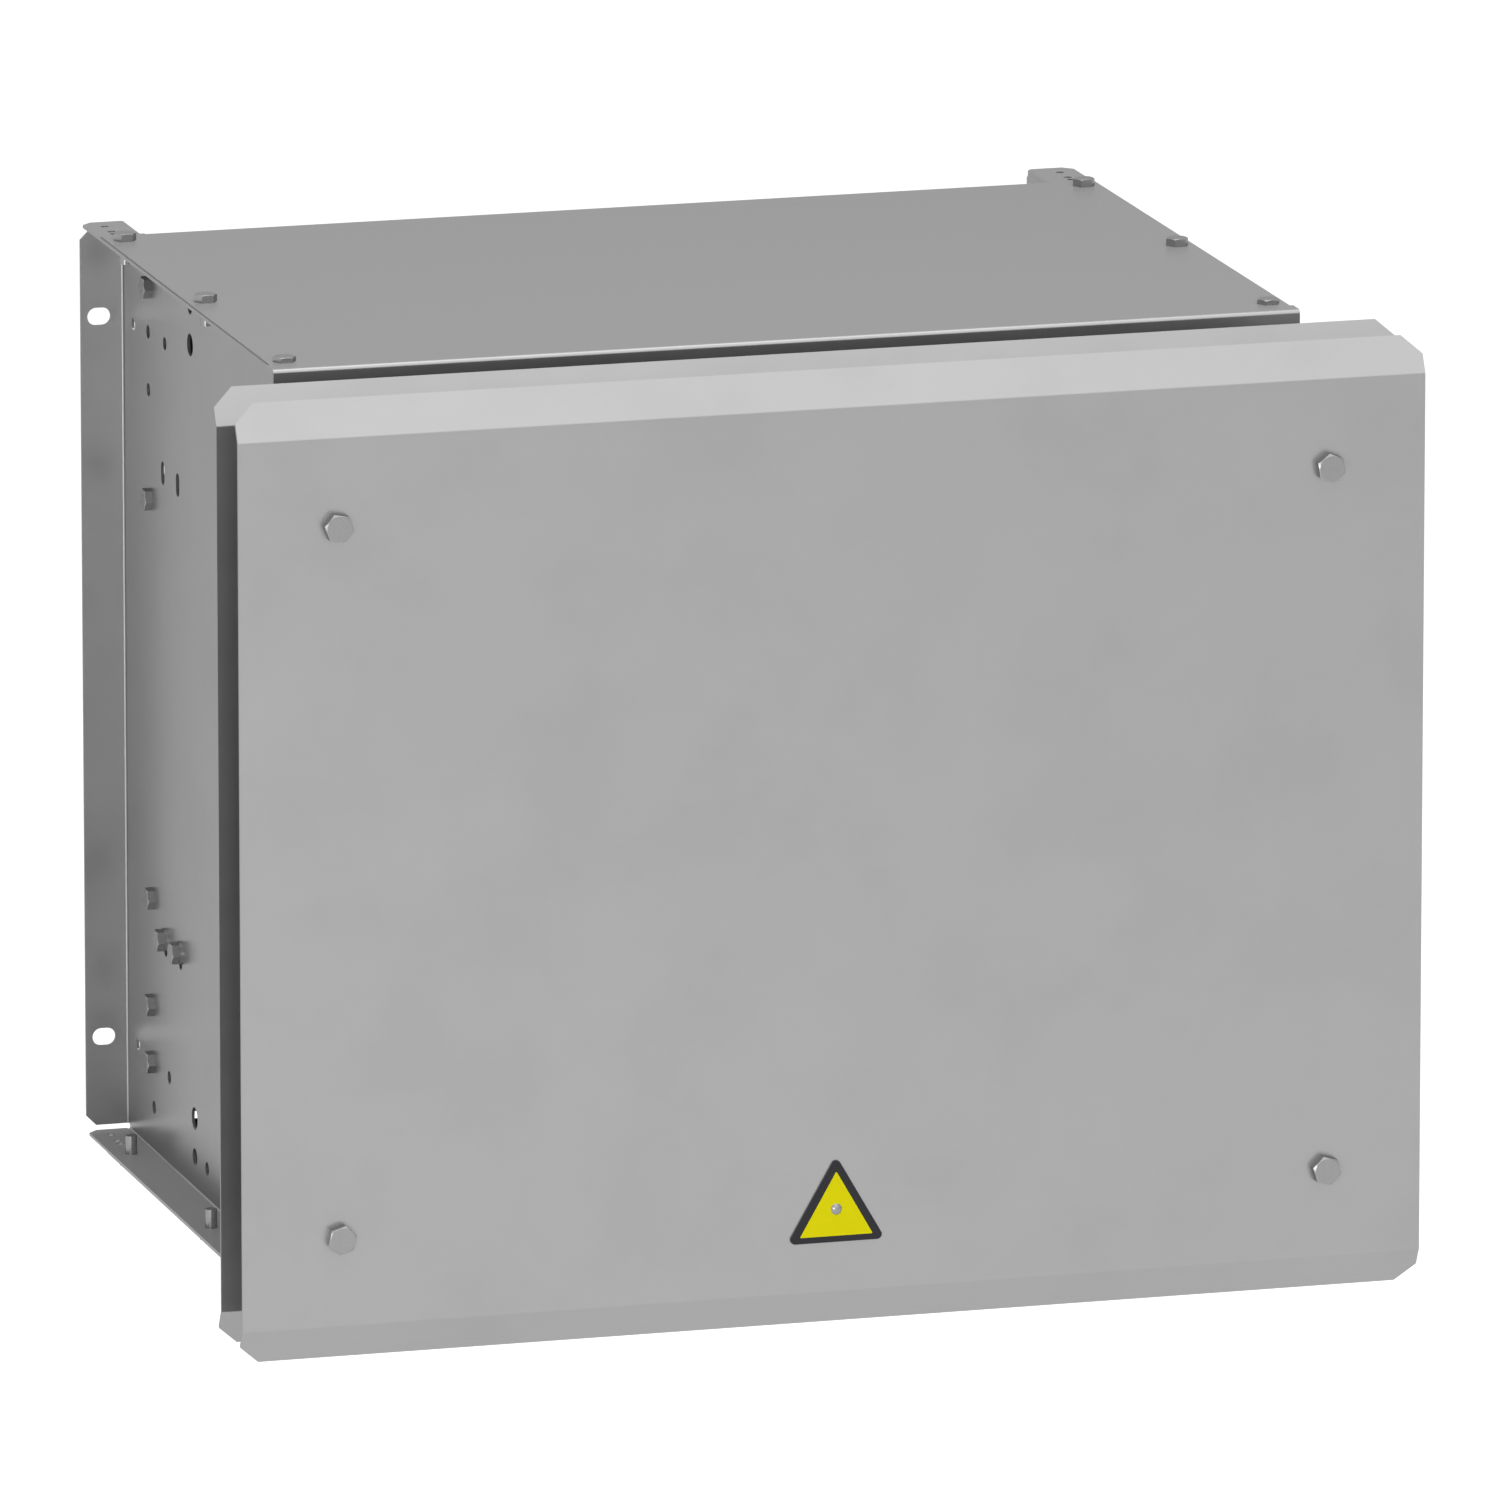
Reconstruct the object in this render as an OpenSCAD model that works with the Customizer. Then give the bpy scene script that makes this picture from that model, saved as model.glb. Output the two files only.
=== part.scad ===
// Wall-mounted braking resistor: a sheet-steel box that hangs on four slotted
// rear flanges, holds a bank of punched resistor grids on two cross rails and
// carries two spaced heat shields in front of its vented inner panel.
// X runs across the wall, Y = 0 is the wall plane and the front looks to -Y.
// Shapes are drawn with the underside of the bottom panel at Z = 0; on_wall() then
// sets them so that the origin is the centre of the four wall slots.
// Depths count from the wall towards the front.

/* [Box] */
// Width over the outward flanges of the two side panels
box_width = 520; // [505:1:560]
// Height from the underside of the bottom panel to the top of the roof
box_height = 472.5; // [465:0.5:500]
// Depth from the wall to the front lips of roof and bottom panel
box_depth = 382.6; // [376:0.1:400]
// Sheet thickness of the side panels and the inner brackets
frame_sheet = 1.5; // [1.2:0.1:1.8]
// Sheet thickness of roof, bottom and inner front panel
cover_sheet = 1; // [0.8:0.1:1.2]
// Inner radius of every sheet bend
bend_radius = 1; // [0.8:0.1:1.3]
// Reach of the outward flanges beyond the outer face of the side wall
flange_reach = 22.1; // [20:0.1:24]
// Cut at the free corners of the outward flanges
flange_corner = 5; // [2:0.5:6]
// Distance of the rear edge of roof and bottom panel from the wall
cover_setback = 41; // [36:1:42]
// Height of the front lips of roof and bottom panel
cover_front_lip = 25; // [15:1:27]
// Height of the rear lips of roof and bottom panel
cover_rear_lip = 15; // [8:1:18]

/* [Heat shields] */
// How far the heat shields stand out beyond the side flanges
shield_overhang = 40; // [30:1:60]
// Height of the flat face between its two bends
shield_flat = 441.1; // [425:0.1:455]
// Sheet thickness of both heat shields
shield_sheet = 1.5; // [1:0.1:2]
// Length of the swept-back top and bottom flanges
shield_flange = 20; // [14:0.5:24]
// Angle by which these flanges lean back from the face
shield_lean = 28; // [20:1:40]
// Cut at the free corners of these flanges
shield_corner = 10; // [4:0.5:12]
// Gap between the two heat shields
shield_gap = 39; // [30:0.5:45]
// Gap between the rear heat shield and the inner front panel
shield_standoff = 37.9; // [30:0.1:45]
// How far the shields hang below the middle of the box
shield_drop = 2.4; // [0:0.1:5]
// Height between the upper and the lower shield bolts
shield_bolt_rise = 353.4; // [345:0.1:360]

/* [Resistor bank] */
// Number of punched grids in the bank
grid_count = 16; // [8:2:18]
// Number of legs in the zigzag of one grid
grid_legs = 10; // [8:2:10]
// Thickness of one grid
grid_sheet = 1.5; // [1:0.1:2]
// Length of one straight leg
grid_leg_length = 200; // [170:1:205]
// Width of the slot between two legs
grid_slot = 5; // [4:0.5:6]
// Diameter of the tie rods
tie_rod = 10; // [8:1:10]

/* [Wall fixing] */
// Height between the upper and the lower wall slots
wall_slot_rise = 372.3; // [360:0.1:376]
// Width of a wall slot
wall_slot_width = 9; // [7:0.5:9]
// End-to-end length of a wall slot
wall_slot_length = 12; // [10:0.5:13]

/* [Hidden] */

smooth = 64;
over = 1;
corner_turn = 45;

// Fasteners: across flats, head or nut height, shank and clearance hole
m6_flats = 10;
m6_head = 4;
m6_low_head = 2.6;
m6_shank = 6;
m6_hole = 7;
m6_length = 12;
m6_short = 10;
m8_flats = 13;
m8_head = 5.3;
m8_nut = 6.5;
m8_shank = 8;
m8_hole = 9;
m10_flats = 17;
m10_nut = 8;
tapped_play = 0.2;
chamfer_share = 0.95;
// Turn of the heads on roof and bottom, and of those on the side walls
cover_bolt_turn = 2;
side_bolt_turn = 37;
washer_size = 12;
washer_sheet = 1.6;

// Bends and levels of the sheet parts
frame_bend = bend_radius + frame_sheet;
cover_bend = bend_radius + cover_sheet;
shield_bend = bend_radius + shield_sheet;
flange_edge = box_width / 2;
wall_outer = flange_edge - flange_reach;
wall_inner = wall_outer - frame_sheet;
bracket_play = 0.2;
inside_half = wall_inner - bracket_play;
fixing_edge = 9.5;
fixing_x = flange_edge - fixing_edge;
panel_bottom = cover_sheet;
panel_top = box_height - cover_sheet;
panel_middle = box_height / 2;
flange_gap = 2.4;
upright_high = panel_top - frame_sheet - flange_gap;
upright_low = box_height - upright_high;
level_flange_rear = 2;
level_flange_setback = 12.6;
level_flange_front = box_depth - level_flange_setback;
lip_play = 0.1;
front_flange_face = box_depth - cover_sheet - lip_play;
inner_front_face = front_flange_face + cover_sheet;
corner_relief = 1.5;
wall_slot_lift = 0.6;
wall_slot_middle = panel_middle + wall_slot_lift;

// Roof and bottom panel
ear_length = 11.1;
ear_overlap = 1;
cover_play = 0.7;
ear_start = box_depth - ear_length;
ear_reach = flange_edge + ear_overlap;
cover_reach = flange_edge - cover_play;
lip_relief = 0.6;
rear_bolt_row = 55;
middle_bolt_row = 213.5;
front_bolt_setback = 18.6;
bolt_rows = [rear_bolt_row, middle_bolt_row, box_depth - front_bolt_setback];
flange_hole_rows = [14, 27.5, 33.5];
flange_hole = 4;

// Holes of the side wall: depth, distance from the top and bottom of the box, diameter
bolt_holes = [[53, 25.05], [51, 48.25], [51, 77.85], [53, 133.45]];
free_holes = [[21.5, 50.45, 7], [84, 47.75, 6.8], [158, 18.15, 7],
    [134, 38.45, 11.5], [134, 18.55, 9]];
rail_slot_level = 115.05;
rail_slot_width = 6.6;
rail_slot_length = 12;
rail_bolt_lift = 2.8;
rail_hole_pitch = 29.3;
rear_rail_depth = 93.2;
front_rail_setback = 64.6;
front_rail_depth = box_depth - front_rail_setback;

// Bolts that hold the rear rails and the rear panel to the side walls
function hung(hole) = [hole[0], box_height - hole[1]];
side_bolts = [hung(bolt_holes[0]), hung(bolt_holes[3]), bolt_holes[3], bolt_holes[2], bolt_holes[1]];

// Rear rails and rear panel
rear_web = cover_setback + 2;
web_front = rear_web + frame_sheet;
rail_edge = 21.75;
rail_rise = 60;
tab_rise = 4.9;
tab_length = 23;
end_run = 12;
return_leg = 10;
rear_panel_edge = 123.05;

// Element rails
element_rail_width = 54;
element_rail_drop = 24;
element_tab_width = 46;
rail_bolt_drop = 12;
rail_bolt_level = rail_slot_level + rail_bolt_lift;
rail_top = rail_bolt_level + rail_bolt_drop;

// Shield stack
rear_shield_back = inner_front_face + shield_standoff;
rear_shield_face = rear_shield_back + shield_sheet;
front_shield_back = rear_shield_face + shield_gap;
front_shield_face = front_shield_back + shield_sheet;
shield_middle = panel_middle - shield_drop;
shield_bolt_levels = [shield_middle - shield_bolt_rise / 2, shield_middle + shield_bolt_rise / 2];
shield_bolt_shift = 0.3;
shield_bolt_x = fixing_x + shield_bolt_shift;
// Turn of each shield bolt head, lower then upper, left then right
shield_bolt_turns = [[17, 50], [45, 38]];
shield_nut_face = front_flange_face - frame_sheet;
shield_nut_turn = 15;
// Half of the flat face between the bends, in whole microns
shield_tangent = shield_bend * tan(shield_lean / 2);
shield_straight = round(1000 * (shield_flat / 2 - shield_tangent)) / 1000;
shield_leg = shield_flange - shield_tangent;
spacer_outer = 14;
spacer_bore = 8.6;
bolt_end = 2.5;

// Inner front panel
front_panel_play = 1;
front_return_play = 2;
front_panel_low = cover_front_lip + front_panel_play;
front_panel_reach = flange_edge - front_panel_play;
front_return_reach = inside_half - front_return_play;
front_return = 12;

// Resistor bank
insulator_height = 30;
insulator_size = 28;
insulator_core = 22;
insulator_ribs = 4;
rib_height = 4;
insulator_bore = 11;
bank_base = rail_top + insulator_height;
end_plate_sheet = 2;
bank_side_gap = 30.4;
end_plate_outer = wall_inner - bank_side_gap;
end_plate_inner = end_plate_outer - end_plate_sheet;
end_plate_foot = 26;
foot_width = 30;
insulator_x = end_plate_outer - end_plate_foot / 2;
end_plate_rear_reach = 18;
end_plate_front_reach = 22;
end_plate_rear = rear_rail_depth - end_plate_rear_reach;
end_plate_front = front_rail_depth + end_plate_front_reach;
grid_leg_pitch = 19;
strip = grid_leg_pitch - grid_slot;
grid_width = grid_legs * grid_leg_pitch;
grid_rail_gap = 10;
grid_lift = 20;
end_plate_rise = 20;
grid_middle = rear_rail_depth + element_rail_width / 2 + grid_rail_gap + grid_width / 2;
grid_low = bank_base + grid_lift;
grid_high = grid_low + grid_leg_length;
end_plate_top = grid_high + end_plate_rise;
grid_bridge = 14;
ear_radius = 13;
ear_lift = 4;
tail_drop = 12;
tube_outer = 14;
tube_play = 0.3;
ring_outer = 24;
end_grid_gap = 16.5;
grid_span = 2 * (end_plate_inner - end_grid_gap);
grid_pitch = grid_span / (grid_count - 1);
upper_rod_y = grid_width / 2 - grid_leg_pitch;
lower_rod_y = grid_width / 2 - 2 * grid_leg_pitch;
upper_rod_z = grid_high - grid_bridge / 2 + ear_lift;
lower_rod_z = grid_low + grid_bridge / 2 - ear_lift;
rods = [[grid_middle - upper_rod_y, upper_rod_z], [grid_middle + upper_rod_y, upper_rod_z],
    [grid_middle - lower_rod_y, lower_rod_z], [grid_middle + lower_rod_y, lower_rod_z]];
rod_tip = 3;
rod_end = end_plate_outer + m10_nut + rod_tip;
link_width = 8;

// Terminals
block_reach = 50;
block_height = 30;
block_depth = 20;
block_drop = 1.75;
block_level = rail_edge + rail_rise / 2 - block_drop;
block_face = web_front + block_depth;
barrier_rise = 12;
barrier_width = 4;
terminal_x = 30;
block_screw_x = 12;
block_screw = 5;
block_screw_head = 8.5;
block_screw_sink = 5;
stud_depth = 15;
stud_length = 16;
strap_width = 15;
strap_sheet = 2;
strap_low = block_level - strap_width / 2;
strap_lap = 15;
strap_inner = grid_span / 2 + grid_sheet / 2;
strap_outer = strap_inner + strap_sheet;
earth_x = 150;
earth_drop = 18;
earth_level = block_level - earth_drop;
earth_length = 18;

// Marker plate
marker_side = 50;
marker_round = 2.4;
marker_sheet = 1;
marker_base = 38;
rivet_level = 54.5;
rivet_size = 5.8;
rivet_rise = 1.3;
rivet_shank = 3;
rivet_tail = 4.5;
rivet_tail_length = 3;

// Vent slots
vent_length = 46;
vent_height = 5;
vent_pitch_x = 60;
vent_pitch_z = 13;
vent_columns = 6;
front_vent_rows = 24;
bottom_vent_rows = 20;
rear_vent_rows = 11;

steel = [0.66, 0.67, 0.68];
shade_steel = [0.52, 0.53, 0.54];
bright_steel = [0.78, 0.79, 0.80];
grid_alloy = [0.50, 0.48, 0.45];
ceramic = [0.88, 0.86, 0.80];
copper = [0.72, 0.45, 0.30];
yellow = [0.88, 0.84, 0.10];

// Where the legs of a grid and the grids of the bank stand
function leg_depth(leg) = grid_middle + (leg - (grid_legs - 1) / 2) * grid_leg_pitch;
function grid_x(grid) = -grid_span / 2 + grid * grid_pitch;

// Sets the drawing on the wall: the centre of the four wall slots is the origin
module on_wall() {
    translate([0, 0, -wall_slot_middle]) children();
}

// Box given by its lowest and its highest corner
module block(low, high) {
    translate(low) cube(high - low);
}

// The drawn shape and its mirror image across X = 0
module both_sides() {
    children();
    mirror([1, 0, 0]) children();
}

// The drawn shape and its mirror image across mid-height
module top_and_bottom() {
    children();
    translate([0, 0, box_height]) mirror([0, 0, 1]) children();
}

// Sketches drawn as height over depth, as height over width, or upright to the wall
module along_x(length) {
    rotate([90, 0, 90]) linear_extrude(height = length) children();
}

module along_y(length) {
    rotate([90, 0, 0]) linear_extrude(height = length) children();
}

module centred_x(half) {
    translate([-half, 0, 0]) along_x(2 * half) children();
}

// Round rods along each axis
module rod_x(size, from, to) {
    translate([from, 0, 0]) rotate([0, 90, 0]) cylinder(d = size, h = to - from, $fn = smooth);
}

module rod_y(size, from, to) {
    translate([0, -from, 0]) rotate([90, 0, 0]) cylinder(d = size, h = to - from, $fn = smooth);
}

module rod_z(size, from, to) {
    translate([0, 0, from]) cylinder(d = size, h = to - from, $fn = smooth);
}

// Flat slot with round ends, its length along X
module slot_shape(length, width) {
    ends = (length - width) / 2;
    square([2 * ends, width], center = true);
    for (side = [-1, 1]) translate([side * ends, 0]) circle(d = width, $fn = smooth);
}

// Rows of slots, centred
module vent_field(rows) {
    for (column = [0 : vent_columns - 1]) for (row = [0 : rows - 1])
        translate([(column - (vent_columns - 1) / 2) * vent_pitch_x, (row - (rows - 1) / 2) * vent_pitch_z])
            slot_shape(vent_length, vent_height);
}

// Hexagon bolt: the head stands on Z = 0 and the shank hangs down
module hex_bolt(flats, head, shank, length, turn) {
    top = flats / 2 * chamfer_share;
    intersection() {
        rotate([0, 0, turn]) cylinder(r = flats / sqrt(3), h = head, $fn = 6);
        cylinder(r1 = top + head * sqrt(3), r2 = top, h = head, $fn = smooth);
    }
    translate([0, 0, -length]) cylinder(d = shank, h = length, $fn = smooth);
}

// Hexagon nut with its bore, standing on Z = 0
module hex_nut(flats, height, bore, turn) {
    top = flats / 2 * chamfer_share;
    difference() {
        intersection() {
            rotate([0, 0, turn]) cylinder(r = flats / sqrt(3), h = height, $fn = 6);
            cylinder(r1 = top + height * sqrt(3), r2 = top, h = height, $fn = smooth);
        }
        translate([0, 0, -over]) cylinder(d = bore, h = height + 2 * over, $fn = smooth);
    }
}

// Round tube standing on Z = 0
module ring(outer, bore, height) {
    difference() {
        cylinder(d = outer, h = height, $fn = smooth);
        translate([0, 0, -over]) cylinder(d = bore, h = height + 2 * over, $fn = smooth);
    }
}

// Section of a square sheet bend: the outer faces would meet in the origin, one
// leg runs along +X as far as run, the other hangs down as far as drop
module fold(run, drop, sheet) {
    outer = bend_radius + sheet;
    translate([outer, -outer]) intersection() {
        difference() {
            circle(r = outer, $fn = smooth);
            circle(r = bend_radius, $fn = smooth);
        }
        translate([-outer, 0]) square(outer);
    }
    if (run > outer) translate([outer, -sheet]) square([run - outer, sheet]);
    if (drop > outer) translate([0, -drop]) square([sheet, drop - outer]);
}

// Square prism on its edge that takes off a free flange corner
module corner_cut(size, length) {
    rotate([0, 0, corner_turn]) cube([size * sqrt(2), size * sqrt(2), length], center = true);
}

// Side panel: one flat wall with outward flanges on all four edges
module side_wall_sketch() {
    difference() {
        translate([frame_bend - front_flange_face, panel_bottom + frame_bend])
            square([front_flange_face - 2 * frame_bend, panel_top - panel_bottom - 2 * frame_bend]);
        for (side = [-1, 1]) {
            for (hole = bolt_holes) translate([-hole[0], panel_middle + side * (panel_middle - hole[1])])
                circle(d = m6_hole, $fn = smooth);
            for (hole = free_holes) translate([-hole[0], panel_middle + side * (panel_middle - hole[1])])
                circle(d = hole[2], $fn = smooth);
            for (rail = [rear_rail_depth, front_rail_depth]) for (step = [-0.5, 0.5])
                translate([-rail + step * rail_hole_pitch, panel_middle + side * (panel_middle - rail_slot_level)])
                    rotate(90) slot_shape(rail_slot_length, rail_slot_width);
        }
    }
}

module level_flange() {
    difference() {
        translate([wall_inner, -level_flange_rear, panel_top])
            along_y(level_flange_front - level_flange_rear)
                fold(flange_edge - wall_inner, frame_bend, frame_sheet);
        for (depth = [level_flange_rear, level_flange_front])
            translate([flange_edge, -depth, panel_top]) corner_cut(flange_corner, 4 * frame_sheet);
        for (row = bolt_rows) translate([fixing_x, -row, 0])
            rod_z(m6_shank + tapped_play, panel_top - 2 * frame_sheet, panel_top + over);
        for (row = flange_hole_rows) translate([fixing_x, -row, 0])
            rod_z(flange_hole, panel_top - 2 * frame_sheet, panel_top + over);
    }
}

module upright_flange() {
    difference() {
        translate([wall_inner, 0, upright_low]) linear_extrude(height = upright_high - upright_low)
            fold(flange_edge - wall_inner, frame_bend, frame_sheet);
        top_and_bottom() translate([flange_edge, 0, upright_high]) rotate([90, 0, 0])
            corner_cut(flange_corner, 4 * frame_sheet);
    }
}

module side_panel() {
    difference() {
        union() {
            translate([wall_inner, 0, 0]) along_x(frame_sheet) side_wall_sketch();
            top_and_bottom() level_flange();
            upright_flange();
            translate([0, -front_flange_face, 0]) mirror([0, 1, 0]) upright_flange();
        }
        top_and_bottom() for (depth = [frame_bend, front_flange_face - frame_bend])
            translate([0, -depth, panel_top - frame_bend])
                rod_x(2 * corner_relief, wall_inner - over, wall_outer + bend_radius);
        for (side = [-1, 1])
            translate([fixing_x, over, wall_slot_middle + side * wall_slot_rise / 2])
                along_y(frame_sheet + 2 * over) slot_shape(wall_slot_length, wall_slot_width);
        for (level = shield_bolt_levels) translate([shield_bolt_x, 0, level])
            rod_y(m8_hole, shield_nut_face - over, front_flange_face + over);
    }
}

module left_side_panel() {
    color(steel) on_wall() mirror([1, 0, 0]) side_panel();
}

module right_side_panel() {
    color(steel) on_wall() side_panel();
}

// Roof and bottom panel: a plate with ears, a front lip and a rear lip
module cover_sketch(vent_rows) {
    difference() {
        union() {
            translate([-cover_reach, -ear_start - over])
                square([2 * cover_reach, ear_start + over - cover_setback - cover_bend]);
            both_sides() translate([inside_half + lip_relief, -cover_setback - cover_bend])
                square([cover_reach - inside_half - lip_relief, cover_bend]);
        }
        both_sides() for (row = bolt_rows) translate([fixing_x, -row])
            circle(d = m6_hole, $fn = smooth);
        if (vent_rows > 0) translate([0, -(cover_setback + box_depth) / 2]) vent_field(vent_rows);
    }
}

module cover_panel(vent_rows) {
    translate([0, 0, panel_top]) linear_extrude(height = cover_sheet) cover_sketch(vent_rows);
    translate([0, -box_depth, box_height]) centred_x(ear_reach)
        fold(box_depth - ear_start, cover_front_lip, cover_sheet);
    translate([0, -cover_setback, box_height]) centred_x(inside_half)
        mirror([1, 0]) fold(cover_bend, cover_rear_lip, cover_sheet);
}

module roof_panel() {
    color(steel) on_wall() cover_panel(0);
}

module bottom_panel() {
    color(steel) on_wall() translate([0, 0, box_height]) mirror([0, 0, 1]) cover_panel(bottom_vent_rows);
}

// Inner front panel, clamped between the side flanges and the rear spacers
module inner_front_sketch() {
    difference() {
        translate([-front_panel_reach, front_panel_low])
            square([2 * front_panel_reach, box_height - 2 * front_panel_low]);
        for (edge = [front_panel_low, box_height - front_panel_low - cover_bend])
            translate([-front_return_reach - lip_relief, edge])
                square([2 * (front_return_reach + lip_relief), cover_bend]);
        both_sides() for (level = shield_bolt_levels) translate([shield_bolt_x, level])
            circle(d = m8_hole, $fn = smooth);
        translate([0, panel_middle]) vent_field(front_vent_rows);
    }
}

module inner_front_panel() {
    color(shade_steel) on_wall() {
        translate([0, cover_sheet - inner_front_face, 0]) along_y(cover_sheet) inner_front_sketch();
        top_and_bottom() translate([0, -inner_front_face, box_height - front_panel_low])
            centred_x(front_return_reach) fold(front_return, cover_bend, cover_sheet);
    }
}

// Heat shield: a flat face whose top and bottom edges lean back
module shield_section() {
    wedge = 2 * shield_bend;
    translate([0, -shield_straight]) square([shield_sheet, 2 * shield_straight]);
    for (side = [0, 1]) mirror([0, side]) translate([shield_bend, shield_straight]) {
        intersection() {
            difference() {
                circle(r = shield_bend, $fn = smooth);
                circle(r = bend_radius, $fn = smooth);
            }
            polygon([[0, 0], [-wedge, 0], [-wedge, wedge * tan(shield_lean)]]);
        }
        rotate(-shield_lean) translate([-shield_bend, 0]) square([shield_sheet, shield_leg]);
    }
}

module shield_corner_cuts() {
    for (side = [-1, 1])
        translate([side * (flange_edge + shield_overhang), shield_bend, shield_straight])
            rotate([-shield_lean, 0, 0])
                translate([0, shield_sheet / 2 - shield_bend, shield_leg])
                    rotate([90, 0, 0]) corner_cut(shield_corner, 3 * shield_sheet);
}

module heat_shield(face) {
    difference() {
        translate([0, -face, shield_middle]) difference() {
            centred_x(flange_edge + shield_overhang) shield_section();
            shield_corner_cuts();
            mirror([0, 0, 1]) shield_corner_cuts();
        }
        both_sides() for (level = shield_bolt_levels) translate([shield_bolt_x, 0, level])
            rod_y(m8_hole, face - 2 * shield_sheet, face + over);
    }
}

module rear_heat_shield() {
    color(steel) on_wall() heat_shield(rear_shield_face);
}

module front_heat_shield() {
    color(steel) on_wall() difference() {
        heat_shield(front_shield_face);
        translate([0, 0, rivet_level])
            rod_y(rivet_shank + tapped_play, front_shield_back - over, front_shield_face + over);
    }
}

// Everything that stacks on the four shield bolts
module at_shield_bolts(depth) {
    for (level = shield_bolt_levels) both_sides() translate([shield_bolt_x, -depth, level])
        rotate([90, 0, 0]) children();
}

module front_spacers() {
    color(bright_steel) on_wall() at_shield_bolts(rear_shield_face) ring(spacer_outer, spacer_bore, shield_gap);
}

module rear_spacers() {
    color(bright_steel) on_wall() at_shield_bolts(inner_front_face) ring(spacer_outer, spacer_bore, shield_standoff);
}

module shield_bolts() {
    reach = front_shield_face - shield_nut_face + m8_nut + bolt_end;
    color(bright_steel) on_wall() for (side = [0, 1]) for (row = [0, 1])
        translate([(2 * side - 1) * shield_bolt_x, -front_shield_face, shield_bolt_levels[row]])
            rotate([90, 0, 0]) hex_bolt(m8_flats, m8_head, m8_shank, reach, shield_bolt_turns[side][row]);
}

module shield_nuts() {
    color(bright_steel) on_wall() for (level = shield_bolt_levels) both_sides()
        translate([shield_bolt_x, -shield_nut_face, level]) rotate([-90, 0, 0])
            hex_nut(m8_flats, m8_nut, m8_shank + tapped_play, shield_nut_turn);
}

// Bolts of roof and bottom panel
module cover_bolts(rows, head) {
    both_sides() for (row = rows) translate([fixing_x, -row, box_height])
        hex_bolt(m6_flats, head, m6_shank, m6_length, cover_bolt_turn);
}

module roof_bolts() {
    color(bright_steel) on_wall() cover_bolts([bolt_rows[0], bolt_rows[1]], m6_head);
}

module roof_front_bolts() {
    color(bright_steel) on_wall() cover_bolts([bolt_rows[2]], m6_low_head);
}

module bottom_bolts() {
    color(bright_steel) on_wall() translate([0, 0, box_height]) mirror([0, 0, 1]) cover_bolts(bolt_rows, m6_head);
}

// Bolts through the side walls
module side_wall_bolts() {
    color(bright_steel) on_wall() both_sides() for (place = side_bolts)
        translate([wall_outer, -place[0], place[1]]) rotate([0, 90, 0])
            hex_bolt(m6_flats, m6_head, m6_shank, m6_short, side_bolt_turn);
}

module at_rail_bolts(out) {
    both_sides() for (rail = [rear_rail_depth, front_rail_depth]) for (step = [-0.5, 0.5])
        translate([out, -rail + step * rail_hole_pitch, rail_bolt_level]) rotate([0, 90, 0]) children();
}

module rail_bolts() {
    color(bright_steel) on_wall() at_rail_bolts(wall_outer + washer_sheet)
        hex_bolt(m6_flats, m6_head, m6_shank, m6_length, side_bolt_turn);
}

module rail_washers() {
    color(bright_steel) on_wall() at_rail_bolts(wall_outer) ring(washer_size, m6_shank + tapped_play, washer_sheet);
}

// Rear cross members: a web with a bent tab at each end and two stiffening returns
module rear_member(low, high, rise) {
    difference() {
        union() {
            translate([0, -rear_web, high]) centred_x(inside_half - end_run)
                mirror([1, 0]) fold(return_leg, (high - low) / 2, frame_sheet);
            translate([0, -rear_web, low]) mirror([0, 0, 1]) centred_x(inside_half - end_run)
                mirror([1, 0]) fold(return_leg, (high - low) / 2, frame_sheet);
            both_sides() translate([-inside_half, -rear_web, low]) linear_extrude(height = high - low)
                fold(end_run, tab_length, frame_sheet);
            if (rise > 0) both_sides()
                block([inside_half - frame_sheet, -rear_web - tab_length, high],
                    [inside_half, -rear_web - frame_bend, high + rise]);
        }
        both_sides() for (hole = bolt_holes) top_and_bottom()
            translate([0, -hole[0], hole[1]])
                rod_x(m6_shank + tapped_play, inside_half - frame_sheet - over, inside_half + over);
    }
}

module rear_rail() {
    rear_member(box_height - rail_edge - rail_rise, box_height - rail_edge, tab_rise);
}

module upper_rear_rail() {
    color(shade_steel) on_wall() rear_rail();
}

module lower_rear_rail() {
    color(shade_steel) on_wall() difference() {
        translate([0, 0, box_height]) mirror([0, 0, 1]) rear_rail();
        both_sides() translate([block_screw_x, 0, block_level])
            rod_y(block_screw + tapped_play, rear_web - over, web_front + over);
    }
}

module rear_panel() {
    color(shade_steel) on_wall() difference() {
        rear_member(rear_panel_edge, box_height - rear_panel_edge, 0);
        translate([0, over - rear_web, panel_middle]) along_y(frame_sheet + 2 * over) vent_field(rear_vent_rows);
    }
}

// Element rail: an upside-down channel with a tab at each end
module element_rail(depth) {
    half = element_rail_width / 2;
    difference() {
        union() {
            translate([0, -depth, rail_top]) centred_x(inside_half - end_run) {
                translate([-half, 0]) fold(half, element_rail_drop, frame_sheet);
                mirror([1, 0]) translate([-half, 0]) fold(half, element_rail_drop, frame_sheet);
            }
            both_sides() translate([-inside_half, element_tab_width / 2 - depth, rail_top])
                along_y(element_tab_width) fold(end_run, element_rail_drop, frame_sheet);
        }
        both_sides() {
            for (step = [-0.5, 0.5])
                translate([0, step * rail_hole_pitch - depth, rail_bolt_level])
                    rod_x(m6_shank + tapped_play, inside_half - frame_sheet - over, inside_half + over);
            translate([insulator_x, -depth, 0])
                rod_z(m6_shank + tapped_play, rail_top - frame_sheet - over, rail_top + over);
        }
    }
}

module rear_element_rail() {
    color(shade_steel) on_wall() element_rail(rear_rail_depth);
}

module front_element_rail() {
    color(shade_steel) on_wall() element_rail(front_rail_depth);
}

// Ribbed post insulators that carry the bank
module at_insulators() {
    both_sides() for (depth = [rear_rail_depth, front_rail_depth])
        translate([insulator_x, -depth, 0]) children();
}

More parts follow.
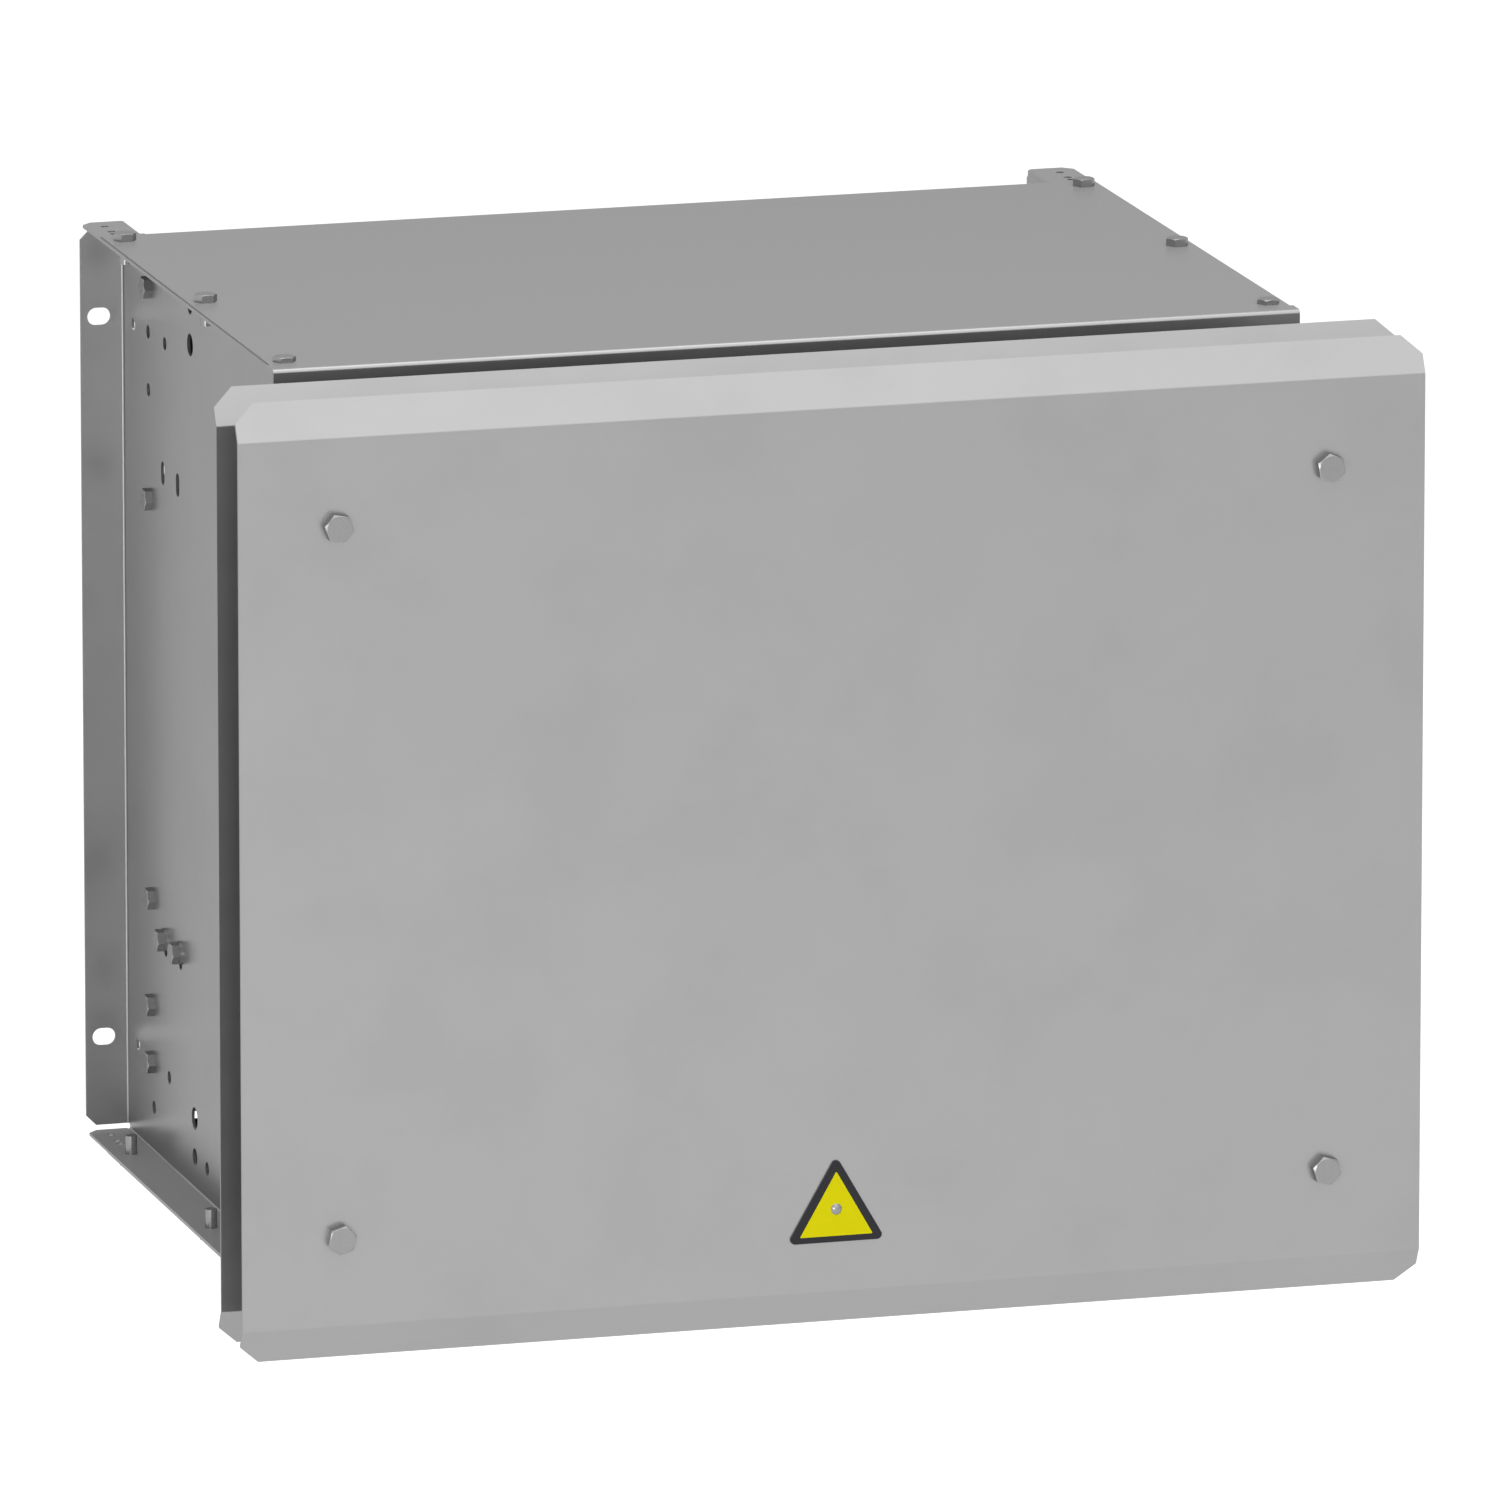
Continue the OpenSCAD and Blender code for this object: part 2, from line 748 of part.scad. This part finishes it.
module post_insulators() {
    rib_pitch = (insulator_height - rib_height) / (insulator_ribs - 1);
    color(ceramic) on_wall() at_insulators() translate([0, 0, rail_top]) difference() {
        union() {
            cylinder(d = insulator_core, h = insulator_height, $fn = smooth);
            for (rib = [0 : insulator_ribs - 1]) translate([0, 0, rib * rib_pitch])
                cylinder(d = insulator_size, h = rib_height, $fn = smooth);
        }
        rod_z(m6_shank + tapped_play, -over, insulator_bore);
        rod_z(m6_shank + tapped_play, insulator_height - insulator_bore, insulator_height + over);
    }
}

module insulator_bolts() {
    color(bright_steel) on_wall() at_insulators() {
        translate([0, 0, bank_base + end_plate_sheet]) hex_bolt(m6_flats, m6_head, m6_shank, m6_short, 0);
        translate([0, 0, rail_top - frame_sheet]) mirror([0, 0, 1])
            hex_bolt(m6_flats, m6_head, m6_shank, m6_short, 0);
    }
}

module at_rods() {
    for (rod = rods) translate([0, -rod[0], rod[1]]) children();
}

// End plates of the bank with two feet each
module end_plate() {
    plate_bend = bend_radius + end_plate_sheet;
    difference() {
        union() {
            block([end_plate_inner, -end_plate_front, bank_base + plate_bend],
                [end_plate_outer, -end_plate_rear, end_plate_top]);
            for (depth = [rear_rail_depth, front_rail_depth])
                translate([end_plate_outer, foot_width / 2 - depth, bank_base]) along_y(foot_width)
                    rotate(180) fold(end_plate_foot, plate_bend, end_plate_sheet);
        }
        for (depth = [end_plate_rear, end_plate_front]) translate([end_plate_inner, -depth, end_plate_top])
            rotate([0, 90, 0]) corner_cut(ear_radius, 4 * end_plate_sheet);
        for (depth = [rear_rail_depth, front_rail_depth]) translate([insulator_x, -depth, bank_base])
            rod_z(m6_hole, -over, end_plate_sheet + over);
        at_rods() rod_x(tie_rod + 2 * tube_play, end_plate_inner - over, end_plate_outer + over);
    }
}

module bank_end_plates() {
    color(shade_steel) on_wall() both_sides() end_plate();
}

module tie_rods() {
    color(bright_steel) on_wall() at_rods() rod_x(tie_rod, -rod_end, rod_end);
}

module tie_rod_nuts() {
    color(bright_steel) on_wall() both_sides() at_rods() translate([end_plate_outer, 0, 0]) rotate([0, 90, 0])
        hex_nut(m10_flats, m10_nut, tie_rod + tapped_play, 0);
}

module rod_tubes() {
    color(ceramic) on_wall() at_rods() translate([-end_plate_inner, 0, 0]) rotate([0, 90, 0])
        ring(tube_outer, tie_rod + 2 * tapped_play, 2 * end_plate_inner);
}

module grid_spacers() {
    color(ceramic) on_wall() for (grid = [0 : grid_count - 2]) at_rods()
        translate([grid_x(grid) + grid_sheet / 2, 0, 0]) rotate([0, 90, 0])
            ring(ring_outer, tube_outer + 2 * tapped_play, grid_pitch - grid_sheet);
}

module end_spacers() {
    color(ceramic) on_wall() both_sides() at_rods()
        translate([grid_span / 2 + grid_sheet / 2, 0, 0]) rotate([0, 90, 0])
            ring(ring_outer, tube_outer + 2 * tapped_play, end_grid_gap - grid_sheet / 2);
}

// One punched grid: legs joined in a zigzag, ears for the rods, two tails
module grid_sketch() {
    difference() {
        union() {
            for (leg = [0 : grid_legs - 1]) translate([-leg_depth(leg) - strip / 2, grid_low])
                square([strip, grid_leg_length]);
            for (leg = [0 : grid_legs - 2])
                translate([-leg_depth(leg + 1), leg % 2 == 0 ? grid_high - grid_bridge : grid_low])
                    square([grid_leg_pitch, grid_bridge]);
            for (leg = [0, grid_legs - 1]) translate([-leg_depth(leg) - strip / 2, grid_low - tail_drop])
                square([strip, tail_drop + grid_bridge]);
            for (rod = rods) translate([-rod[0], rod[1]]) circle(r = ear_radius, $fn = smooth);
        }
        for (rod = rods) translate([-rod[0], rod[1]]) circle(d = tube_outer + 2 * tube_play, $fn = smooth);
    }
}

module resistor_grids() {
    color(grid_alloy) on_wall() for (grid = [0 : grid_count - 1])
        translate([grid_x(grid) - grid_sheet / 2, 0, 0]) along_x(grid_sheet) grid_sketch();
}

// Links join the tails of neighbouring grids, last leg and first leg in turn
module grid_links() {
    color(grid_alloy) on_wall() for (grid = [0 : grid_count - 2])
        translate([grid_x(grid) + grid_sheet / 2,
                -leg_depth(grid % 2 == 0 ? grid_legs - 1 : 0) - link_width / 2, grid_low - tail_drop])
            cube([grid_pitch - grid_sheet, link_width, tail_drop]);
}

// Bent straps from the two free tails down and back to the terminals
module bus_strap() {
    strap_front = leg_depth(0) + strap_width / 2;
    difference() {
        union() {
            translate([-strap_outer, -block_face, strap_low]) linear_extrude(height = strap_width)
                fold(strap_outer - terminal_x + strap_width / 2, strap_front - block_face, strap_sheet);
            block([-strap_outer, -strap_front, strap_low],
                [-strap_inner, strap_width - strap_front, grid_low + strap_lap]);
        }
        translate([-terminal_x, 0, block_level])
            rod_y(m8_shank + 2 * tapped_play, block_face - over, block_face + strap_sheet + over);
    }
}

module left_bus_strap() {
    color(copper) on_wall() bus_strap();
}

module right_bus_strap() {
    color(copper) on_wall() mirror([1, 0, 0]) bus_strap();
}

// Terminal block with a barrier between its two studs
module terminal_block() {
    color(ceramic) on_wall() difference() {
        union() {
            block([-block_reach, -block_face, block_level - block_height / 2],
                [block_reach, -web_front, block_level + block_height / 2]);
            block([-barrier_width / 2, -block_face - barrier_rise, block_level - block_height / 2],
                [barrier_width / 2, -web_front, block_level + block_height / 2]);
        }
        both_sides() {
            translate([terminal_x, 0, block_level])
                rod_y(m8_shank + tapped_play, block_face - stud_depth, block_face + over);
            translate([block_screw_x, 0, block_level]) {
                rod_y(block_screw + 2 * tapped_play, web_front - over, block_face + over);
                rod_y(block_screw_head + 2 * tapped_play, block_face - block_screw_sink, block_face + over);
            }
        }
    }
}

module terminal_block_screws() {
    color(bright_steel) on_wall() both_sides() translate([block_screw_x, 0, block_level]) {
        rod_y(block_screw, rear_web - over, block_face - block_screw_sink);
        rod_y(block_screw_head, block_face - block_screw_sink, block_face);
    }
}

module terminal_studs() {
    color(bright_steel) on_wall() both_sides() translate([terminal_x, 0, block_level])
        rod_y(m8_shank, block_face - stud_depth, block_face + stud_length);
}

module earth_stud() {
    color(bright_steel) on_wall() translate([earth_x, 0, earth_level])
        rod_y(m8_shank, web_front, web_front + earth_length);
}

module terminal_nuts() {
    bore = m8_shank + tapped_play;
    color(bright_steel) on_wall() {
        both_sides() translate([terminal_x, -block_face - strap_sheet, block_level]) rotate([90, 0, 0])
            hex_nut(m8_flats, m8_nut, bore, 0);
        translate([earth_x, -web_front, earth_level]) rotate([90, 0, 0])
            hex_nut(m8_flats, m8_nut, bore, 0);
    }
}

// Marker plate: an equilateral triangle with rounded corners
module marker_plate() {
    inner = marker_side / 2 - marker_round * sqrt(3);
    height = marker_side * sqrt(3) / 2;
    corners = [[-inner, marker_round], [inner, marker_round], [0, height - 2 * marker_round]];
    side_x = marker_round * cos(30);
    side_z = marker_round * sin(30);
    color(yellow) on_wall() difference() {
        translate([0, -front_shield_face, marker_base]) along_y(marker_sheet) {
            for (corner = corners) translate(corner) circle(r = marker_round, $fn = smooth);
            polygon([corners[0] - [0, marker_round], corners[1] - [0, marker_round],
                corners[1] + [side_x, side_z], corners[2] + [side_x, side_z],
                corners[2] + [-side_x, side_z], corners[0] + [-side_x, side_z]]);
        }
        translate([0, 0, rivet_level])
            rod_y(rivet_shank + tapped_play, front_shield_face - over, front_shield_face + marker_sheet + over);
    }
}

// Blind rivet: a low dome in front, its shank and the formed tail behind
module marker_rivet() {
    plate_face = front_shield_face + marker_sheet;
    dome = (rivet_size * rivet_size / 4 + rivet_rise * rivet_rise) / (2 * rivet_rise);
    color(bright_steel) on_wall() translate([0, 0, rivet_level]) {
        intersection() {
            translate([0, dome - rivet_rise - plate_face, 0]) sphere(r = dome, $fn = smooth);
            rod_y(2 * rivet_size, plate_face, plate_face + 2 * rivet_rise);
        }
        rod_y(rivet_shank, front_shield_back, plate_face);
        rod_y(rivet_tail, front_shield_back - rivet_tail_length, front_shield_back);
    }
}

left_side_panel();
right_side_panel();
roof_panel();
bottom_panel();
inner_front_panel();
rear_heat_shield();
front_heat_shield();
front_spacers();
rear_spacers();
shield_bolts();
shield_nuts();
roof_bolts();
roof_front_bolts();
bottom_bolts();
side_wall_bolts();
rail_bolts();
rail_washers();
upper_rear_rail();
lower_rear_rail();
rear_panel();
rear_element_rail();
front_element_rail();
post_insulators();
insulator_bolts();
bank_end_plates();
tie_rods();
tie_rod_nuts();
rod_tubes();
grid_spacers();
end_spacers();
resistor_grids();
grid_links();
left_bus_strap();
right_bus_strap();
terminal_block();
terminal_block_screws();
terminal_studs();
terminal_nuts();
earth_stud();
marker_plate();
marker_rivet();
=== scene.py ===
import bmesh
import bpy
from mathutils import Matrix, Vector


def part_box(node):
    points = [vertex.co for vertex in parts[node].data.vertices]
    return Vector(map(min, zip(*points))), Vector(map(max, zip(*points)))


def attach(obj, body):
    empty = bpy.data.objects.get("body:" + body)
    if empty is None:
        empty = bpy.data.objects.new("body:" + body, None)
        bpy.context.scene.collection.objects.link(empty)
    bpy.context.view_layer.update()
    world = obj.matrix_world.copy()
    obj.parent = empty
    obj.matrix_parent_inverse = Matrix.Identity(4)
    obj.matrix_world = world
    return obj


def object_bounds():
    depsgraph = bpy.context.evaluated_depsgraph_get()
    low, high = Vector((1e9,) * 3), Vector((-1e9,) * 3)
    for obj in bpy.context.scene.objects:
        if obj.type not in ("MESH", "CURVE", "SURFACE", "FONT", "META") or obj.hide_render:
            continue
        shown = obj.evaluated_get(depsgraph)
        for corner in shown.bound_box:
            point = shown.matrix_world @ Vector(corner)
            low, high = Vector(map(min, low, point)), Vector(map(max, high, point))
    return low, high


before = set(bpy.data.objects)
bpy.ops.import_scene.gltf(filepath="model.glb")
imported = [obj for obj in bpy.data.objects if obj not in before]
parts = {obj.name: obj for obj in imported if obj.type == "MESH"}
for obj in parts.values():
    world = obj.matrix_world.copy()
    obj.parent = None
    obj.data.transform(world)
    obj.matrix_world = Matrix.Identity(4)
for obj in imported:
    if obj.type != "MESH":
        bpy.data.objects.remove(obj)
cad_low, cad_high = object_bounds()

# Galvanised sheet of the box
# The side panels, the covers, the inner front panel and the rails are folded
# from hot-dip galvanised steel sheet, 1 and 1.5 mm thick, and bolted together.
SHEET_DULL = "#A0A0A0"
SHEET_GREY = "#A2A2A2"
SHEET_LIGHT = "#A3A3A3"
SHEET_METAL = 0.77
SHEET_GLOSS = 0.3
SHEET_GLOSS_SWING = 0.012
GRAZING_GREY = (0.7, 0.7, 0.7, 1)
CLOUD_MM = 60
GRAIN_MM = 1.6
ROLL_MM = 5
ROLL_STRETCH = (0.04, 1, 1)

# Faces that look up are painted paler and less metallic, a painted highlight
# for the light that falls on them from above. How far a face looks up is the
# upward part of its normal.
TOP_LIGHT_GREY = "#B4B4B4"
TOP_LIGHT_METAL = 0.2
TOP_LIGHT_STARTS = 0.85
TOP_LIGHT_FULL = 0.98


def linear(code):
    """sRGB hex code as linear red, green, blue and alpha."""
    values = [int(code[i:i + 2], 16) / 255 for i in (1, 3, 5)]
    return [v / 12.92 if v <= 0.04045 else ((v + 0.055) / 1.055) ** 2.4 for v in values] + [1]


def per_metre(size_mm):
    """Noise scale, in cells per metre, of a pattern of this size."""
    return 1000 / size_mm


def add(tree, kind, settings=None, **links):
    """Adds one node with its fields, socket values and incoming links.

    A link is named for its socket, or for i and the socket's number.
    """
    made = tree.nodes.new(kind)
    for name, value in (settings or {}).items():
        if hasattr(made, name):
            setattr(made, name, value)
        else:
            made.inputs[name].default_value = value
    for name, source in links.items():
        numbered = name[0] == "i" and name[1:].isdigit()
        socket = made.inputs[int(name[1:]) if numbered else name.replace("_", " ")]
        tree.links.new(source, socket)
    return made


def new_material(name):
    """Empty material with its surface shader and object coordinates."""
    made = bpy.data.materials.new(name)
    made.use_nodes = True
    tree = made.node_tree
    tree.nodes.clear()
    shader = add(tree, "ShaderNodeBsdfPrincipled")
    add(tree, "ShaderNodeOutputMaterial", Surface=shader.outputs[0])
    place = add(tree, "ShaderNodeTexCoord").outputs["Object"]
    return made, tree, shader, place


def sheet_material(name, dull, grey, light):
    """Skin-passed zinc: broad clouds, a fine grain and faint rolling streaks.

    The eye sees an even satin grey that takes a blurred share of what stands
    around it. The grain and the streaks are drawn coarser than the real ones,
    which would not show.
    """
    made, tree, shader, place = new_material(name)
    clouds = add(tree, "ShaderNodeTexNoise",
                 {"Scale": per_metre(CLOUD_MM), "Detail": 4, "Roughness": 0.55}, Vector=place)
    ramp = add(tree, "ShaderNodeValToRGB", Fac=clouds.outputs["Fac"])
    ramp.color_ramp.elements[0].position = 0.35
    ramp.color_ramp.elements[0].color = linear(dull)
    ramp.color_ramp.elements[1].position = 0.65
    ramp.color_ramp.elements[1].color = linear(light)
    ramp.color_ramp.elements.new(0.5).color = linear(grey)
    streak_space = add(tree, "ShaderNodeMapping", {"Scale": ROLL_STRETCH}, Vector=place)
    streaks = add(tree, "ShaderNodeTexNoise", {"Scale": per_metre(ROLL_MM), "Detail": 3},
                  Vector=streak_space.outputs[0])
    gloss = add(tree, "ShaderNodeMapRange",
                {"From Min": 0.3, "From Max": 0.7,
                 "To Min": SHEET_GLOSS - SHEET_GLOSS_SWING, "To Max": SHEET_GLOSS + SHEET_GLOSS_SWING},
                Value=streaks.outputs["Fac"])
    grain = add(tree, "ShaderNodeTexNoise", {"Scale": per_metre(GRAIN_MM), "Detail": 2}, Vector=place)
    bump = add(tree, "ShaderNodeBump", {"Strength": 0.02, "Distance": 0.0001}, Height=grain.outputs["Fac"])
    # Faces that look up are painted paler and less metallic: a painted highlight for the light from above.
    normal = add(tree, "ShaderNodeNewGeometry").outputs["Normal"]
    facing = add(tree, "ShaderNodeSeparateXYZ", Vector=normal)
    painted_top_light = add(tree, "ShaderNodeMapRange", {"From Min": TOP_LIGHT_STARTS, "From Max": TOP_LIGHT_FULL},
               Value=facing.outputs["Z"])
    tint = add(tree, "ShaderNodeMixRGB", {"Color2": linear(TOP_LIGHT_GREY)},
               Fac=painted_top_light.outputs["Result"], Color1=ramp.outputs["Color"])
    shine = add(tree, "ShaderNodeMapRange", {"To Min": SHEET_METAL, "To Max": TOP_LIGHT_METAL},
                Value=painted_top_light.outputs["Result"])
    tree.links.new(tint.outputs["Color"], shader.inputs["Base Color"])
    tree.links.new(shine.outputs["Result"], shader.inputs["Metallic"])
    tree.links.new(gloss.outputs["Result"], shader.inputs["Roughness"])
    tree.links.new(bump.outputs["Normal"], shader.inputs["Normal"])
    shader.inputs["Specular Tint"].default_value = GRAZING_GREY
    shader.inputs["Specular IOR Level"].default_value = 0
    return made


def dress(material, *names):
    """Gives CAD nodes this material."""
    for name in names:
        mesh = parts[name].data
        mesh.materials.clear()
        mesh.materials.append(material)


galvanised = sheet_material("galvanised_sheet_skin_passed", SHEET_DULL, SHEET_GREY, SHEET_LIGHT)
dress(galvanised, "left_side_panel", "right_side_panel", "roof_panel", "bottom_panel",
      "inner_front_panel", "upper_rear_rail", "lower_rear_rail", "rear_panel",
      "rear_element_rail", "front_element_rail", "bank_end_plates")

# Heat shields
# Two plates of galvanised sheet, 1.5 mm thick, with swept-back top and bottom
# edges, held one behind the other on four bolts with tube spacers. The rear
# one stands nearer the bank and is given a darker grey, painted shade for the
# shadow that the front shield casts on it.
SHADED_REAR_DULL = "#999999"
SHADED_REAR_GREY = "#9B9B9B"
SHADED_REAR_LIGHT = "#9D9D9D"

dress(galvanised, "front_heat_shield")
# The rear shield's darker sheet is painted shade from the front shield.
dress(sheet_material("galvanised_sheet_painted_shade", SHADED_REAR_DULL, SHADED_REAR_GREY, SHADED_REAR_LIGHT), "rear_heat_shield")

# Bolts, nuts, washers and spacers
# Zinc-plated steel hardware: cold-headed hexagon bolts, turned tube spacers,
# a drawn rivet. The thin plating is bluish grey, glossier than the sheet.
ZINC_GREY = "#949495"
ZINC_METAL = 0.75
ZINC_GLOSS = 0.28
PLATED_EDGE_GREY = (0.5, 0.5, 0.5, 1)


def plain_metal(name, colour, roughness, metal=1.0, size_mm=3.0, swing=0.06):
    """Plated, rolled or drawn metal whose gloss varies over a few millimetres."""
    made, tree, shader, place = new_material(name)
    shader.inputs["Base Color"].default_value = linear(colour)
    shader.inputs["Metallic"].default_value = metal
    shader.inputs["Specular Tint"].default_value = PLATED_EDGE_GREY
    patches = add(tree, "ShaderNodeTexNoise", {"Scale": per_metre(size_mm), "Detail": 3}, Vector=place)
    gloss = add(tree, "ShaderNodeMapRange",
                {"From Min": 0.3, "From Max": 0.7, "To Min": roughness - swing, "To Max": roughness + swing},
                Value=patches.outputs["Fac"])
    tree.links.new(gloss.outputs["Result"], shader.inputs["Roughness"])
    return made


zinc = plain_metal("zinc_plated_steel", ZINC_GREY, ZINC_GLOSS, metal=ZINC_METAL, swing=0.015)
dress(zinc, "front_spacers", "rear_spacers", "shield_bolts", "shield_nuts", "roof_bolts",
      "roof_front_bolts", "bottom_bolts", "side_wall_bolts", "rail_bolts", "rail_washers",
      "insulator_bolts", "tie_rods", "tie_rod_nuts", "terminal_block_screws",
      "terminal_studs", "terminal_nuts", "earth_stud", "marker_rivet")

# Resistor bank
# Punched grids of heat-proof alloy, joined in series by links of the same
# strip. Their first heating leaves a dull brown-grey oxide.
OXIDE_BROWN = "#6B645C"

grid_metal = plain_metal("oxidised_resistance_alloy", OXIDE_BROWN, 0.5, size_mm=12, swing=0.1)
dress(grid_metal, "resistor_grids", "grid_links")

# Bus straps
# Hard copper strip, bent and punched, from the ends of the bank to the
# terminals. Bare copper shows warm and satin.
COPPER = "#C08A62"

strap_copper = plain_metal("hard_copper_strap", COPPER, 0.35, size_mm=8)
dress(strap_copper, "left_bus_strap", "right_bus_strap")

# Insulators and terminal block
# Pressed and fired steatite: posts under the bank, tubes and rings on its
# rods, and the block that carries the terminals. Matt off-white, unglazed.
STEATITE = "#E2DCCD"
STEATITE_SPECK = "#C9C2B2"
SPECK_MM = 2
STEATITE_GLOSS = 0.55

steatite, clay, clay_shader, clay_place = new_material("fired_steatite")
speck = add(clay, "ShaderNodeTexNoise", {"Scale": per_metre(SPECK_MM), "Detail": 5}, Vector=clay_place)
speckle = add(clay, "ShaderNodeValToRGB", Fac=speck.outputs["Fac"])
speckle.color_ramp.elements[0].position = 0.3
speckle.color_ramp.elements[0].color = linear(STEATITE_SPECK)
speckle.color_ramp.elements[1].position = 0.6
speckle.color_ramp.elements[1].color = linear(STEATITE)
clay.links.new(speckle.outputs["Color"], clay_shader.inputs["Base Color"])
clay_shader.inputs["Roughness"].default_value = STEATITE_GLOSS
dress(steatite, "post_insulators", "rod_tubes", "grid_spacers", "end_spacers", "terminal_block")

# Marker plate
# Triangular plate of aluminium, 1 mm thick, screen-printed with enamel: dark
# rim, yellow field. One blind rivet holds it on the front heat shield.
RIM_BLACK = "#343438"
FIELD_YELLOW = "#F8EE00"
RIM_UNDER_FIELD = 0.0031
RIM_OVER_FIELD = 0.0054
FIELD_HALF_WIDTH = 0.0186
FIELD_CORNER_CUT = 0.0008
FIELD_THICKNESS = 0.00008
PEEL_MM = 1.5


def enamel(name, colour, roughness):
    """Screen-printed enamel: an even colour, satin, with a slight orange peel."""
    made, tree, shader, place = new_material(name)
    shader.inputs["Base Color"].default_value = linear(colour)
    shader.inputs["Specular IOR Level"].default_value = 0.15
    peel = add(tree, "ShaderNodeTexNoise", {"Scale": per_metre(PEEL_MM), "Detail": 2}, Vector=place)
    gloss = add(tree, "ShaderNodeMapRange", {"To Min": roughness - 0.05, "To Max": roughness + 0.05},
                Value=peel.outputs["Fac"])
    tree.links.new(gloss.outputs["Result"], shader.inputs["Roughness"])
    return made


def as_object(name, shape, material):
    """Turns a bmesh into an object of the scene, at the origin."""
    mesh = bpy.data.meshes.new(name)
    shape.to_mesh(mesh)
    shape.free()
    mesh.materials.append(material)
    made = bpy.data.objects.new(name, mesh)
    bpy.context.scene.collection.objects.link(made)
    return made


dress(enamel("black_enamel", RIM_BLACK, 0.45), "marker_plate")

plate_low, plate_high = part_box("marker_plate")
field_base = plate_low.z + RIM_UNDER_FIELD
field_apex = plate_high.z - RIM_OVER_FIELD
field = bmesh.new()
corners = [field.verts.new(v) for v in ((-FIELD_HALF_WIDTH, plate_low.y, field_base),
                                        (FIELD_HALF_WIDTH, plate_low.y, field_base),
                                        (0, plate_low.y, field_apex))]
field.faces.new(corners)
bmesh.ops.bevel(field, geom=corners, offset=FIELD_CORNER_CUT, segments=4, profile=0.5,
                affect="VERTICES", material=-1)
grown = bmesh.ops.extrude_face_region(field, geom=list(field.faces))
skin = [v for v in grown["geom"] if isinstance(v, bmesh.types.BMVert)]
bmesh.ops.translate(field, verts=skin, vec=(0, -FIELD_THICKNESS, 0))
bmesh.ops.recalc_face_normals(field, faces=field.faces)
yellow_field = as_object("marker_field", field, enamel("yellow_enamel", FIELD_YELLOW, 0.4))
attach(yellow_field, "root")

# Stage
# White floor some way under the hanging box, in white surroundings that the
# camera and reflections see at full strength and other light only faintly.
WHITE = (1, 1, 1, 1)
SKY_SEEN = 1.0
SKY_LIGHT = 0.19
FLOOR_DROP = 0.35
FLOOR_REACH = 9
FLOOR_WHITE = (0.6, 0.6, 0.6, 1)
FLOOR_GLOW = 0.93


def seen_directly(tree):
    """1 for camera, glossy and transmission rays, and 0 for all others."""
    rays = add(tree, "ShaderNodeLightPath")
    either = add(tree, "ShaderNodeMath", {"operation": "MAXIMUM"},
                 i0=rays.outputs["Is Camera Ray"], i1=rays.outputs["Is Glossy Ray"])
    shown = add(tree, "ShaderNodeMath", {"operation": "MAXIMUM"},
                i0=either.outputs[0], i1=rays.outputs["Is Transmission Ray"])
    return shown.outputs[0]


world = bpy.data.worlds.new("studio")
bpy.context.scene.world = world
world.use_nodes = True
sky = world.node_tree
sky.nodes.clear()
dim = add(sky, "ShaderNodeBackground", {"Color": WHITE, "Strength": SKY_LIGHT})
bright = add(sky, "ShaderNodeBackground", {"Color": WHITE, "Strength": SKY_SEEN})
sky_mix = add(sky, "ShaderNodeMixShader", i0=seen_directly(sky), i1=dim.outputs[0], i2=bright.outputs[0])
add(sky, "ShaderNodeOutputWorld", Surface=sky_mix.outputs[0])

floor_paint = bpy.data.materials.new("white_floor")
floor_paint.use_nodes = True
ground = floor_paint.node_tree
ground.nodes.clear()
matt = add(ground, "ShaderNodeBsdfDiffuse", {"Color": FLOOR_WHITE})
glow = add(ground, "ShaderNodeEmission", {"Color": WHITE, "Strength": FLOOR_GLOW})
lit = add(ground, "ShaderNodeAddShader", i0=matt.outputs[0], i1=glow.outputs[0])
ground_mix = add(ground, "ShaderNodeMixShader",
                 i0=seen_directly(ground), i1=matt.outputs[0], i2=lit.outputs[0])
add(ground, "ShaderNodeOutputMaterial", Surface=ground_mix.outputs[0])

floor_shape = bmesh.new()
bmesh.ops.create_grid(floor_shape, x_segments=1, y_segments=1, size=FLOOR_REACH)
bmesh.ops.translate(floor_shape, verts=floor_shape.verts, vec=(0, 0, cad_low.z - FLOOR_DROP))
as_object("floor", floor_shape, floor_paint)

# Lamps
# Two large softboxes, one high before the box and one over its roof, and three
# small ones low at the left, which lift the shields, the rear flange and the wall.
LIT_POINT = Vector((0, -0.2, 0))


def softbox(name, place, size, power):
    """Square area light that looks at the middle of the box."""
    lamp = bpy.data.lights.new(name, "AREA")
    lamp.shape = "SQUARE"
    lamp.size = size
    lamp.energy = power
    made = bpy.data.objects.new(name, lamp)
    made.location = place
    made.rotation_euler = (LIT_POINT - Vector(place)).to_track_quat("-Z", "Y").to_euler()
    bpy.context.scene.collection.objects.link(made)


softbox("key_softbox", (0.2, -2.95, 2.15), 3.4, 34)
softbox("top_softbox", (0, -0.4, 3.0), 2.5, 36)
softbox("front_softbox", (-1.1, -3.7, -0.05), 1.0, 8)
softbox("corner_softbox", (-1.9, -3.2, 0.15), 1.2, 25)
softbox("side_softbox", (-2.9, 0.5, -0.05), 1.2, 1)

# Camera
# Long lens far off, a little above the box and to its left.
LENS_MM = 497.3
SENSOR_MM = 36
CAMERA_PLACE = (-2.78032, -9.88923, 2.28561)
VIEW_DIRECTION = Vector((0.27183661, 0.93638047, -0.22202807))

camera_data = bpy.data.cameras.new("camera")
camera_data.sensor_width = SENSOR_MM
camera_data.lens = LENS_MM
camera_data.clip_end = 100
camera = bpy.data.objects.new("camera", camera_data)
camera.location = CAMERA_PLACE
camera.rotation_euler = VIEW_DIRECTION.to_track_quat("-Z", "Y").to_euler()
bpy.context.scene.collection.objects.link(camera)
bpy.context.scene.camera = camera
bpy.context.scene.view_settings.view_transform = "Standard"
